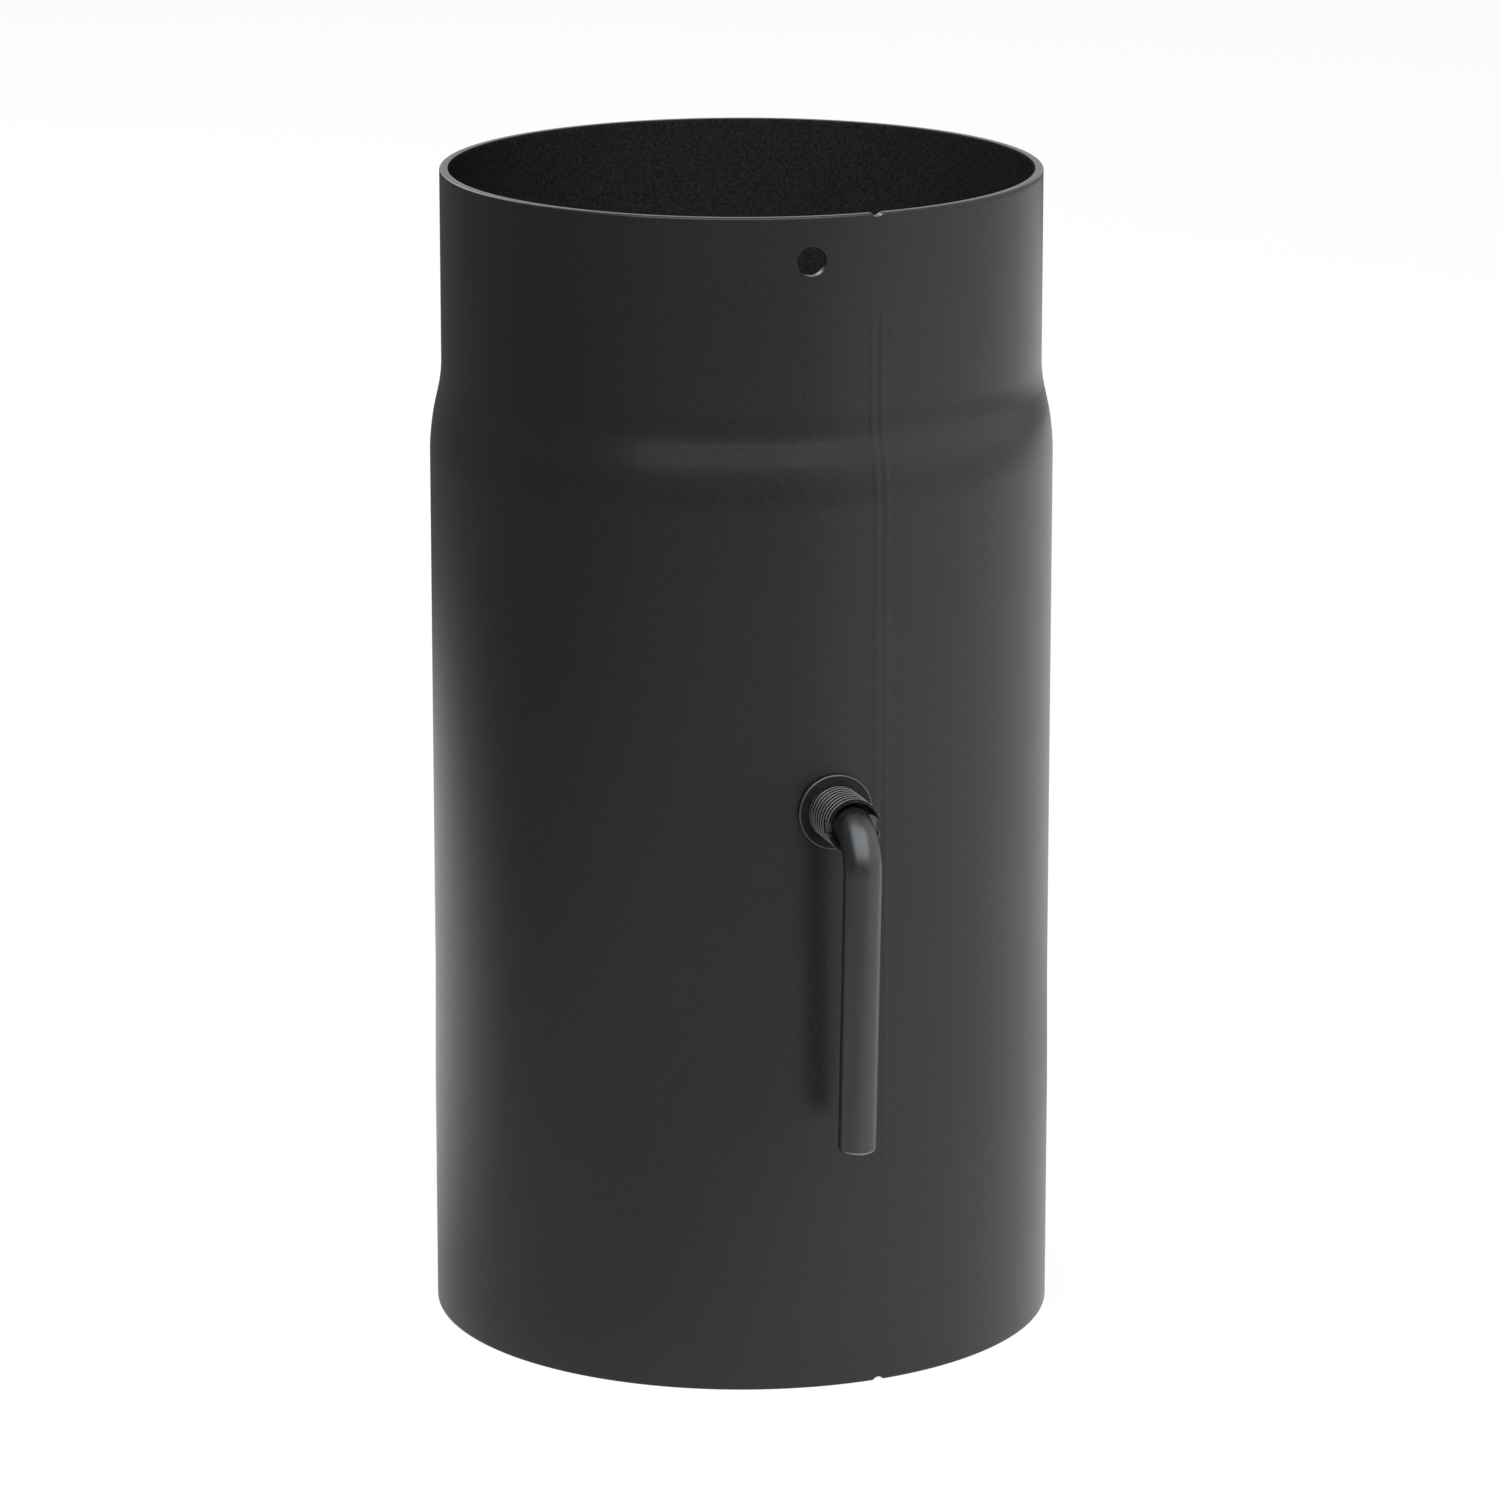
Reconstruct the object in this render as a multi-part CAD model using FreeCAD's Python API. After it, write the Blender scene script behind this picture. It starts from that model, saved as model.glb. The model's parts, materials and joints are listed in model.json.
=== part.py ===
"""Stove pipe section with a hand-turned throttle damper, in millimetres.

The pipe stands along +Z with the centre of its socket end at the origin.
The damper's shaft lies along Y, and its cranked handle hangs down outside the -Y wall.
"""

import FreeCAD
import Part

import math
import os

from FreeCAD import Vector

# Pipe, rolled from sheet, butt welded, with one end drawn in to a spigot
pipe_bore = 130.0
pipe_wall = 2.0
pipe_length = 252.0
spigot_play = 0.6
spigot_length = 44.5
taper_length = 16.5
taper_corner_share = 0.7
taper_foot_share = 0.03
socket_length = 50.0
socket_ease = 0.25
socket_lead = 25.0
rim_round = 0.4

# Weld seam's open ends and the hole that the pipe hangs from on the paint line
seam_turn = 8.9
seam_notch_width = 2.5
seam_notch_depth = 0.75
hanging_hole_diameter = 6.2
hanging_hole_drop = 9.3
hanging_hole_turn = -3.9

# Shaft and handle, one bent rod
shaft_height = 126.6
shaft_diameter = 8.0
shaft_play = 0.06
shaft_tail = 3.5
shaft_tail_round = 1.5
handle_bend_radius = 8.5
handle_bend_angle = 93.0
handle_drop = 69.3
handle_end_round = 1.0

# Bush in the front wall: a flanged nut set in the sheet, and a hollow slotted screw in the nut
nut_flange_lip = 1.2
nut_flange_thickness = 1.0
nut_flange_chamfer = 0.25
nut_barrel_wall = 0.95
nut_upset_lip = 1.1
nut_upset_thickness = 2.4
nut_play = 0.05
screw_reach = 13.6
screw_inside = 4.5
screw_chamfer = 0.6
mouth_chamfer = 0.15
mouth_play = 0.23
mouth_wall = 0.65
mouth_depth = 3.2
mouth_bend_inset = 2.8
slot_width = 3.0
slot_depth = 3.2

# Spring that draws the handle against the bush and holds the damper where it is set
spring_wire = 1.2
spring_wire_sides = 8
spring_inner_play = 0.7
spring_length = 15.4
spring_open_turns = 4.5
spring_closed_turns = 1.0
spring_closed_gap = 0.1
spring_steps_per_turn = 20
seat_clearance = 0.05
washer_diameter = 13.0
washer_thickness = 1.0
washer_play = 0.2
split_pin_diameter = 2.0
split_pin_hole_play = 0.05
split_pin_overhang = 2.5
split_pin_eye_radius = 1.9
split_pin_eye_wire = 1.0
split_pin_leg_length = 4.0
split_pin_leg_angle = 55.0

# Throttle plate and the screws that hold it on the shaft's flat
plate_gap = 2.5
plate_thickness = 1.5
plate_notch_round = 4.0
plate_notch_margin = 2.0
shaft_flat_height = 1.5
shaft_flat_end_gap = 0.3
plate_screw_inset_front = 16.0
plate_screw_inset_rear = 20.0
plate_screw_diameter = 4.0
plate_screw_hole_play = 0.15
plate_screw_head_width = 7.0
plate_screw_head_height = 2.8
plate_screw_tip = 1.0
plate_nut_height = 3.2
plate_washer_diameter = 9.0
plate_washer_thickness = 0.8
spot_face_depth = 1.0
spot_face_length = 10.0

# Worked out from the sizes above
bore_radius = pipe_bore / 2
outer_radius = bore_radius + pipe_wall
spigot_radius = bore_radius - spigot_play
spigot_foot = pipe_length - spigot_length
taper_end = spigot_foot - taper_length
shaft_radius = shaft_diameter / 2
plate_radius = bore_radius - plate_gap
bend_inside = handle_bend_radius - shaft_radius
rod_reach_at_mouth = handle_bend_radius - math.sqrt(bend_inside**2 - mouth_bend_inset**2)
mouth_radius = rod_reach_at_mouth + mouth_play
screw_thread_radius = mouth_radius + mouth_wall
nut_inner_radius = screw_thread_radius + nut_play
nut_barrel_radius = nut_inner_radius + nut_barrel_wall
nut_upset_radius = nut_barrel_radius + nut_upset_lip
nut_flange_radius = nut_barrel_radius + nut_flange_lip
screw_mouth = -(outer_radius + screw_reach)
screw_inner_end = -(bore_radius - screw_inside)
seat_washer_back = screw_inner_end + washer_thickness
stop_washer_front = seat_washer_back + spring_length + 2 * seat_clearance
stop_washer_back = stop_washer_front + washer_thickness
split_pin_place = stop_washer_back + split_pin_diameter / 2 + seat_clearance
split_pin_top = shaft_radius + split_pin_overhang
split_pin_eye_top = split_pin_top + 2 * split_pin_eye_radius + split_pin_eye_wire / 2
plate_notch_end = split_pin_place + split_pin_diameter / 2 + plate_notch_margin
plate_notch_half_width = split_pin_eye_top + plate_notch_margin
plate_screw_places = {
    "front": plate_notch_end + plate_screw_inset_front,
    "rear": plate_radius - plate_screw_inset_rear,
}
spot_face = -(shaft_radius - spot_face_depth)
shaft_centre = Vector(0, 0, shaft_height)
axis_x = Vector(1, 0, 0)
axis_y = Vector(0, 1, 0)
axis_z = Vector(0, 0, 1)


def on_shaft(x, y, z):
    """A point given from the shaft's middle."""
    return shaft_centre + Vector(x, y, z)


def rounded_path(points, setbacks):
    """Edges through the points, with an arc in each corner that has a setback."""
    edges = []
    start = points[0]
    for before, corner, after, setback in zip(points, points[1:], points[2:], setbacks):
        if setback == 0:
            edges.append(Part.makeLine(start, corner))
            start = corner
            continue
        into = (before - corner).normalize()
        out = (after - corner).normalize()
        half_angle = into.getAngle(out) / 2
        first = corner + into * setback
        last = corner + out * setback
        middle_line = (into + out).normalize()
        centre_distance = setback / math.cos(half_angle)
        radius = setback * math.tan(half_angle)
        middle = corner + middle_line * (centre_distance - radius)
        edges.append(Part.makeLine(start, first))
        edges.append(Part.Arc(first, middle, last).toShape())
        start = last
    edges.append(Part.makeLine(start, points[-1]))
    return edges


def turned(profile, about, along):
    """A solid of revolution from a closed list of points."""
    face = Part.Face(Part.makePolygon(profile + profile[:1]))
    return face.revolve(about, along, 360)


def shaft_ring(outer_diameter, inner_diameter, front, back):
    """A plain ring round the shaft's line, between two places along Y."""
    outer = Part.makeCylinder(outer_diameter / 2, back - front, on_shaft(0, front, 0), axis_y)
    inner = Part.makeCylinder(inner_diameter / 2, back - front, on_shaft(0, front, 0), axis_y)
    return outer.cut(inner)


def hexagon_prism(width, height, base, direction):
    """A hexagonal head or nut, standing on base."""
    corner_radius = width / math.sqrt(3)
    corners = []
    for step in range(7):
        angle = math.radians(60 * step)
        corners.append(Vector(corner_radius * math.cos(angle), corner_radius * math.sin(angle), 0))
    prism = Part.Face(Part.makePolygon(corners)).extrude(axis_z * height)
    prism.Placement = FreeCAD.Placement(base, FreeCAD.Rotation(axis_z, direction))
    return prism


def radial_direction(turn):
    """A level direction, turned from the handle's side (-Y) towards +X."""
    angle = math.radians(turn)
    return Vector(math.sin(angle), -math.cos(angle), 0)


# Pipe


def pipe_section(inset):
    """The sheet's face from the socket's end to the spigot's end, inset from the outside."""
    body = outer_radius - inset
    socket = body + socket_ease
    spigot = spigot_radius - inset
    corner_drop = taper_corner_share * taper_length
    points = [
        Vector(socket, 0, 0),
        Vector(socket, 0, socket_length),
        Vector(body, 0, socket_length + socket_lead),
        Vector(body, 0, spigot_foot - corner_drop),
        Vector(spigot, 0, spigot_foot),
        Vector(spigot, 0, pipe_length),
    ]
    shoulder_setback = taper_length - corner_drop
    foot_setback = taper_foot_share * taper_length
    return rounded_path(points, [0, 0, shoulder_setback, foot_setback])


def pipe_body():
    outside = pipe_section(0)
    inside = pipe_section(pipe_wall)
    socket_end = Part.makeLine(inside[0].Vertexes[0].Point, outside[0].Vertexes[0].Point)
    spigot_end = Part.makeLine(outside[-1].Vertexes[-1].Point, inside[-1].Vertexes[-1].Point)
    outline = Part.Wire(Part.__sortEdges__([socket_end] + outside + [spigot_end] + inside))
    tube = round_rims(Part.Face(outline).revolve(Vector(0, 0, 0), axis_z, 360))
    wall_reach = 2 * pipe_wall + socket_ease
    nut_hole = Part.makeCylinder(
        nut_barrel_radius + nut_play,
        2 * wall_reach,
        on_shaft(0, -(outer_radius + wall_reach), 0),
        axis_y,
    )
    shaft_hole = Part.makeCylinder(
        shaft_radius + shaft_play,
        2 * wall_reach,
        on_shaft(0, bore_radius - wall_reach, 0),
        axis_y,
    )
    hole_line = radial_direction(hanging_hole_turn)
    hole_start = hole_line * (spigot_radius - pipe_wall - wall_reach)
    hole_start.z = pipe_length - hanging_hole_drop
    hanging_hole = Part.makeCylinder(
        hanging_hole_diameter / 2, pipe_wall + 2 * wall_reach, hole_start, hole_line
    )
    tube = tube.cut(nut_hole).cut(shaft_hole).cut(hanging_hole)
    return tube.cut(seam_notch(pipe_length, -1)).cut(seam_notch(0, 1))


def round_rims(tube):
    """Takes the burr off the rims, but leaves the socket's bore full length."""
    rims = []
    for edge in tube.Edges:
        if edge.Curve.TypeId != "Part::GeomCircle":
            continue
        at_spigot = abs(edge.Curve.Center.z - pipe_length) < rim_round
        at_socket = abs(edge.Curve.Center.z) < rim_round and edge.Curve.Radius > outer_radius
        if at_spigot or at_socket:
            rims.append(edge)
    return tube.makeFillet(rim_round, rims)


def seam_notch(height, into):
    """The small gap that the weld leaves open at a rim."""
    across = radial_direction(seam_turn).cross(axis_z)
    middle = radial_direction(seam_turn) * (outer_radius + pipe_wall)
    middle.z = height
    corners = [
        middle - across * (seam_notch_width / 2),
        middle + across * (seam_notch_width / 2),
        middle + across * (seam_notch_width / 4) + axis_z * (into * seam_notch_depth),
        middle - across * (seam_notch_width / 4) + axis_z * (into * seam_notch_depth),
    ]
    face = Part.Face(Part.makePolygon(corners + corners[:1]))
    return face.extrude(radial_direction(seam_turn) * (spigot_radius - outer_radius - 3 * pipe_wall))


# Bush in the front wall


def flanged_nut():
    flange_back = -(outer_radius + nut_play)
    flange_front = flange_back - nut_flange_thickness
    # The bore curves in towards the shaft at the upset's edge, so the upset sits clear of it there.
    upset_front = nut_play - math.sqrt(bore_radius**2 - nut_upset_radius**2)
    upset_back = upset_front + nut_upset_thickness
    profile = [
        on_shaft(0, flange_front, nut_inner_radius),
        on_shaft(0, flange_front, nut_flange_radius - nut_flange_chamfer),
        on_shaft(0, flange_front + nut_flange_chamfer, nut_flange_radius),
        on_shaft(0, flange_back, nut_flange_radius),
        on_shaft(0, flange_back, nut_barrel_radius),
        on_shaft(0, upset_front, nut_barrel_radius),
        on_shaft(0, upset_front, nut_upset_radius),
        on_shaft(0, upset_back, nut_upset_radius),
        on_shaft(0, upset_back, nut_inner_radius),
    ]
    return turned(profile, shaft_centre, axis_y)


def slotted_screw():
    bore = shaft_radius + shaft_play
    profile = [
        on_shaft(0, screw_mouth, mouth_radius),
        on_shaft(0, screw_mouth, screw_thread_radius - mouth_chamfer),
        on_shaft(0, screw_mouth + mouth_chamfer, screw_thread_radius),
        on_shaft(0, screw_inner_end - screw_chamfer, screw_thread_radius),
        on_shaft(0, screw_inner_end, screw_thread_radius - screw_chamfer),
        on_shaft(0, screw_inner_end, bore),
        on_shaft(0, screw_mouth + mouth_depth, bore),
        on_shaft(0, screw_mouth + mouth_depth, mouth_radius),
    ]
    screw = turned(profile, shaft_centre, axis_y)
    slot = Part.makeBox(
        4 * screw_thread_radius,
        2 * slot_depth,
        slot_width,
        on_shaft(-2 * screw_thread_radius, screw_mouth - slot_depth, -slot_width / 2),
    )
    return screw.cut(slot)


# Shaft, handle and the spring on the shaft


def handle_path():
    """The rod's centre line from its tail to the handle's end."""
    bend_start = screw_mouth + mouth_bend_inset
    turn = math.radians(handle_bend_angle)
    bend_centre = on_shaft(0, bend_start, -handle_bend_radius)

    def on_bend(angle):
        return bend_centre + Vector(
            0, -handle_bend_radius * math.sin(angle), handle_bend_radius * math.cos(angle)
        )

    bar_line = Vector(0, -math.cos(turn), -math.sin(turn))
    bar_top = on_bend(turn)
    bar_length = (bar_top.z - (shaft_height - handle_drop)) / math.sin(turn)
    bar_end = bar_top + bar_line * bar_length
    tail = on_shaft(0, outer_radius + shaft_tail, 0)
    start = on_shaft(0, bend_start, 0)
    return Part.Wire([
        Part.makeLine(tail, start),
        Part.Arc(start, on_bend(turn / 2), bar_top).toShape(),
        Part.makeLine(bar_top, bar_end),
    ])


def handle_rod():
    path = handle_path()
    tail = path.Edges[0].Vertexes[0].Point
    section = Part.Wire(Part.makeCircle(shaft_radius, tail, axis_y))
    rod = path.makePipeShell([section], True, False)
    rod = round_end(rod, tail, shaft_tail_round)
    rod = round_end(rod, path.Edges[-1].Vertexes[-1].Point, handle_end_round)
    flat_front = plate_notch_end - shaft_flat_end_gap
    flat_back = plate_radius + shaft_flat_end_gap
    flat = Part.makeBox(
        shaft_diameter,
        flat_back - flat_front,
        2 * shaft_diameter,
        on_shaft(shaft_flat_height, flat_front, -shaft_diameter),
    )
    rod = rod.cut(flat)
    for place in plate_screw_places.values():
        seat = Part.makeBox(
            shaft_diameter,
            spot_face_length,
            2 * shaft_diameter,
            on_shaft(spot_face - shaft_diameter, place - spot_face_length / 2, -shaft_diameter),
        )
        rod = rod.cut(seat).cut(plate_screw_hole(place))
    pin_hole = Part.makeCylinder(
        split_pin_diameter / 2 + split_pin_hole_play,
        2 * shaft_diameter,
        on_shaft(0, split_pin_place, -shaft_diameter),
        axis_z,
    )
    return rod.cut(pin_hole)


def round_end(rod, end, radius):
    """Rounds the circular edge nearest to one end of the rod."""
    rims = [e for e in rod.Edges if e.Curve.TypeId == "Part::GeomCircle"]
    rim = min(rims, key=lambda e: (e.Curve.Center - end).Length)
    return rod.makeFillet(radius, [rim])


def washer_on_shaft(front):
    return shaft_ring(washer_diameter, shaft_diameter + 2 * washer_play, front, front + washer_thickness)


def friction_spring():
    """A coil with closed end turns that fills the space between the two washers."""
    coil_radius = shaft_radius + spring_inner_play + spring_wire / 2
    closed_pitch = spring_wire + spring_closed_gap
    closed_rise = closed_pitch * spring_closed_turns
    open_rise = spring_length - spring_wire - 2 * closed_rise
    turns = spring_open_turns + 2 * spring_closed_turns
    steps = round(turns * spring_steps_per_turn)
    front = seat_washer_back + seat_clearance + spring_wire / 2
    points = []
    for step in range(steps + 1):
        turn = turns * step / steps
        opened = min(max(turn - spring_closed_turns, 0), spring_open_turns)
        closed = turn - opened
        rise = closed * closed_pitch + opened * open_rise / spring_open_turns
        angle = 2 * math.pi * turn
        points.append(on_shaft(coil_radius * math.cos(angle), front + rise, coil_radius * math.sin(angle)))
    path = Part.makePolygon(points)
    section = regular_wire(spring_wire / 2, spring_wire_sides, points[0], points[1] - points[0])
    return path.makePipeShell([section], True, False, 1)


def regular_wire(radius, sides, centre, direction):
    """A regular polygon square to a direction."""
    corners = []
    for step in range(sides + 1):
        angle = 2 * math.pi * step / sides
        corners.append(Vector(radius * math.cos(angle), radius * math.sin(angle), 0))
    wire = Part.makePolygon(corners)
    wire.Placement = FreeCAD.Placement(centre, FreeCAD.Rotation(axis_z, direction))
    return wire


def split_pin():
    """A cotter through the shaft: eye above, two legs spread below."""
    radius = split_pin_diameter / 2
    shank = Part.makeCylinder(
        radius, 2 * split_pin_top, on_shaft(0, split_pin_place, -split_pin_top), axis_z
    )
    eye_front = on_shaft(0, split_pin_place - split_pin_eye_wire / 2, split_pin_top + split_pin_eye_radius)
    eye_outer = split_pin_eye_radius + split_pin_eye_wire / 2
    eye = Part.makeCylinder(eye_outer, split_pin_eye_wire, eye_front, axis_y)
    eye_hole = Part.makeCylinder(eye_outer - split_pin_eye_wire, split_pin_eye_wire, eye_front, axis_y)
    pin = shank.fuse(eye).cut(eye_hole)
    spread = math.radians(split_pin_leg_angle)
    root = on_shaft(0, split_pin_place, radius / 2 - split_pin_top)
    for side in (-1, 1):
        line = Vector(side * math.sin(spread), 0, -math.cos(spread))
        leg = Part.makeCylinder(radius / 2, split_pin_leg_length, root, line)
        pin = pin.fuse(leg)
    return pin.removeSplitter()


# Throttle plate and its screws


def plate_screw_hole(place):
    radius = plate_screw_diameter / 2 + plate_screw_hole_play
    return Part.makeCylinder(radius, 4 * shaft_diameter, on_shaft(-2 * shaft_diameter, place, 0), axis_x)


def throttle_plate():
    disc = Part.makeCylinder(plate_radius, plate_thickness, on_shaft(shaft_flat_height, 0, 0), axis_x)
    notch_start = -(plate_radius + plate_notch_round)
    half = plate_notch_half_width
    outline = rounded_path(
        [
            on_shaft(shaft_flat_height, notch_start, -half),
            on_shaft(shaft_flat_height, plate_notch_end, -half),
            on_shaft(shaft_flat_height, plate_notch_end, half),
            on_shaft(shaft_flat_height, notch_start, half),
        ],
        [plate_notch_round, plate_notch_round],
    )
    closing = Part.makeLine(outline[-1].Vertexes[-1].Point, outline[0].Vertexes[0].Point)
    notch = Part.Face(Part.Wire(outline + [closing])).extrude(axis_x * plate_thickness)
    plate = disc.cut(notch)
    for place in plate_screw_places.values():
        plate = plate.cut(plate_screw_hole(place))
    return plate


def plate_screw(place):
    head_seat = shaft_flat_height + plate_thickness
    head = hexagon_prism(
        plate_screw_head_width, plate_screw_head_height, on_shaft(head_seat, place, 0), axis_x
    )
    tip = spot_face - plate_washer_thickness - plate_nut_height - plate_screw_tip
    shank = Part.makeCylinder(
        plate_screw_diameter / 2, head_seat - tip, on_shaft(tip, place, 0), axis_x
    )
    return head.fuse(shank).removeSplitter()


def plate_washer(place):
    front = on_shaft(spot_face, place, 0)
    disc = Part.makeCylinder(plate_washer_diameter / 2, plate_washer_thickness, front, -axis_x)
    return disc.cut(plate_screw_hole(place))


def plate_nut(place):
    seat = on_shaft(spot_face - plate_washer_thickness, place, 0)
    nut = hexagon_prism(plate_screw_head_width, plate_nut_height, seat, -axis_x)
    radius = plate_screw_diameter / 2 + nut_play
    bore = Part.makeCylinder(radius, 2 * shaft_diameter, seat, -axis_x)
    return nut.cut(bore)


def all_parts():
    parts = {
        "pipe_body": pipe_body(),
        "flanged_nut": flanged_nut(),
        "slotted_screw": slotted_screw(),
        "handle_rod": handle_rod(),
        "seat_washer": washer_on_shaft(screw_inner_end),
        "friction_spring": friction_spring(),
        "stop_washer": washer_on_shaft(stop_washer_front),
        "split_pin": split_pin(),
        "throttle_plate": throttle_plate(),
    }
    for name, place in plate_screw_places.items():
        parts["plate_screw_" + name] = plate_screw(place)
        parts["plate_washer_" + name] = plate_washer(place)
        parts["plate_nut_" + name] = plate_nut(place)
    return parts


os.makedirs("parts", exist_ok=True)
for node, shape in all_parts().items():
    shape.exportStep("parts/" + node + ".step")
    print(node, "solids", len(shape.Solids), "valid", shape.isValid(), "volume", round(shape.Volume, 2))
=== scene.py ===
import json
import math

import bpy
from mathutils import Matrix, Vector


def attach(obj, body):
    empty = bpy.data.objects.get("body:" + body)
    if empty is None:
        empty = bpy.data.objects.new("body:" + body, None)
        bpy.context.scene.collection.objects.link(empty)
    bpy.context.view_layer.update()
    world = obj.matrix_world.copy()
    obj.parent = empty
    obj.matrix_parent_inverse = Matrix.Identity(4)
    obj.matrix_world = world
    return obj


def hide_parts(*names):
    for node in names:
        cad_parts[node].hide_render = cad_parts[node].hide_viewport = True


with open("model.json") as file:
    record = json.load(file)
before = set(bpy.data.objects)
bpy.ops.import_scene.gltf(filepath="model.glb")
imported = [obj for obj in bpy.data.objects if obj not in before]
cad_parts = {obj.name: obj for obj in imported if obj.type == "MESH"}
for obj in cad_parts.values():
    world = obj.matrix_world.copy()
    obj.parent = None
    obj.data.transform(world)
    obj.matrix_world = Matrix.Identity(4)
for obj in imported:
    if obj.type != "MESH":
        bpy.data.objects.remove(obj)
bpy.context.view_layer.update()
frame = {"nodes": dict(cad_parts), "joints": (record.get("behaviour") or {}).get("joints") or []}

# Pipe: one length of 2 mm mild steel sheet, rolled round and butt welded along one line.
# Its top end is drawn in to a spigot, its foot is eased out to a socket,
# and it is sprayed inside and out with matte charcoal stove paint.

pipe_segments = 360
pipe_wall = 0.002
pipe_outer = 0.067
pipe_length = 0.252
socket_outer = 0.06725
socket_length = 0.05
socket_lead_end = 0.075
shoulder_height = 0.19595
shoulder_setback = 0.00495
shoulder_steps = 12
spigot_outer = 0.0644
spigot_foot = 0.2075
spigot_foot_setback = 0.003
spigot_foot_steps = 8
rim_round = 0.0004
rim_round_steps = 4
edge_band = 0.0012
seam_turn = math.radians(8.9)
seam_segments = 4
seam_cuts = 5
seam_rise = 0.0001
seam_top = 0.2305
seam_top_slope = 0.75
seam_run_out = 0.003
rim_notch_width = 0.0025
rim_notch_depth = 0.00075
rim_notch_sides = 24
hanging_hole_turn = math.radians(-3.9)
hanging_hole_height = 0.2427
hanging_hole_radius = 0.0031
shaft_height = frame["joints"][0]["pos_m"][2]
nut_hole_radius = 0.0069
shaft_hole_radius = 0.00406
wall_cut_inner = 0.05
wall_cut_outer = 0.08


def start_piece(name):
    """Names the primitive that was just added, puts its place in its mesh and opens it for editing."""
    bpy.ops.object.transform_apply(location=True, rotation=True, scale=True)
    piece = bpy.context.object
    piece.name = name
    piece.data.name = name
    bpy.ops.object.mode_set(mode="EDIT")
    bpy.ops.mesh.select_mode(type="VERT")
    bpy.ops.mesh.select_all(action="SELECT")
    return piece


def pick(piece, domain, wanted):
    """Selects just the vertices, edges or faces that the test wants, in edit mode."""
    bpy.ops.mesh.select_mode(type=domain)
    bpy.ops.mesh.select_all(action="DESELECT")
    bpy.ops.object.mode_set(mode="OBJECT")
    mesh = piece.data
    if domain == "FACE":
        for face in mesh.polygons:
            face.select = wanted(face.center, face.normal)
    elif domain == "EDGE":
        for edge in mesh.edges:
            first, second = (mesh.vertices[v].co for v in edge.vertices)
            edge.select = wanted(first, second)
    else:
        for vertex in mesh.vertices:
            vertex.select = wanted(vertex.co, vertex.normal)
    bpy.ops.object.mode_set(mode="EDIT")


def finish_piece(piece, smooth_angle):
    """Closes the edit and smooths the piece up to an angle."""
    if bpy.context.mode != "OBJECT":
        bpy.ops.object.mode_set(mode="OBJECT")
    bpy.ops.object.select_all(action="DESELECT")
    piece.select_set(True)
    bpy.context.view_layer.objects.active = piece
    bpy.ops.object.shade_smooth_by_angle(angle=math.radians(smooth_angle))


def combine(piece, tool, operation):
    """Cuts a tool from a piece, trims the piece to it or joins the two, then drops the tool."""
    if bpy.context.mode != "OBJECT":
        bpy.ops.object.mode_set(mode="OBJECT")
    bpy.ops.object.select_all(action="DESELECT")
    bpy.context.view_layer.objects.active = piece
    piece.select_set(True)
    boolean = piece.modifiers.new(operation.lower(), "BOOLEAN")
    boolean.operation = operation
    boolean.solver = "EXACT"
    boolean.object = tool
    bpy.ops.object.modifier_apply(modifier=boolean.name)
    bpy.data.objects.remove(tool)


def add_rod(radius, start, end, sides=64):
    """A plain cylinder between two points, to cut with or to build on."""
    if bpy.context.mode != "OBJECT":
        bpy.ops.object.mode_set(mode="OBJECT")
    line = Vector(end) - Vector(start)
    bpy.ops.object.select_all(action="DESELECT")
    bpy.ops.mesh.primitive_cylinder_add(
        vertices=sides,
        radius=radius,
        depth=line.length,
        location=(Vector(start) + Vector(end)) / 2,
        rotation=line.to_track_quat("Z", "Y").to_euler(),
    )
    bpy.ops.object.transform_apply(location=True, rotation=True, scale=True)
    return bpy.context.object


def round_pipe_direction(turn):
    """A level direction, turned from the handle's side towards +X."""
    return Vector((math.sin(turn), -math.cos(turn), 0))


def add_rim_notch(height):
    """The flattened round gap that the weld leaves open at a rim."""
    outward = round_pipe_direction(seam_turn)
    middle = outward * (pipe_outer - pipe_wall) + Vector((0, 0, height))
    tool = add_rod(
        rim_notch_width / 2,
        middle - outward * 3 * pipe_wall,
        middle + outward * 3 * pipe_wall,
        rim_notch_sides,
    )
    bpy.ops.object.mode_set(mode="EDIT")
    bpy.ops.mesh.select_all(action="SELECT")
    bpy.ops.transform.resize(
        value=(1, 1, 2 * rim_notch_depth / rim_notch_width), center_override=(0, 0, height)
    )
    bpy.ops.object.mode_set(mode="OBJECT")
    return tool


bpy.ops.object.select_all(action="DESELECT")
bpy.ops.mesh.primitive_circle_add(
    vertices=pipe_segments, radius=socket_outer, fill_type="NOTHING", rotation=(0, 0, seam_turn)
)
pipe = start_piece("pipe_painted")
pipe_rings = [
    (0, socket_outer),
    (edge_band, socket_outer),
    (socket_length, socket_outer),
    (socket_lead_end, pipe_outer),
    (shoulder_height - shoulder_setback - edge_band, pipe_outer),
    (shoulder_height, pipe_outer),
    (spigot_foot, spigot_outer),
    (spigot_foot + spigot_foot_setback + edge_band, spigot_outer),
    (pipe_length - edge_band, spigot_outer),
    (pipe_length, spigot_outer),
]
for (z_before, r_before), (z_after, r_after) in zip(pipe_rings, pipe_rings[1:]):
    bpy.ops.mesh.extrude_region_move(TRANSFORM_OT_translate={"value": (0, 0, z_after - z_before)})
    bpy.ops.transform.resize(
        value=(r_after / r_before, r_after / r_before, 1), center_override=(0, 0, z_after)
    )
for ring_height, setback, steps in (
    (shoulder_height, shoulder_setback, shoulder_steps),
    (spigot_foot, spigot_foot_setback, spigot_foot_steps),
):
    pick(pipe, "EDGE", lambda a, b: abs(a.z - ring_height) < 1e-5 and abs(b.z - ring_height) < 1e-5)
    bpy.ops.mesh.bevel(offset=setback, offset_type="OFFSET", segments=steps, profile=0.5)
bpy.ops.mesh.select_all(action="SELECT")
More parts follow.
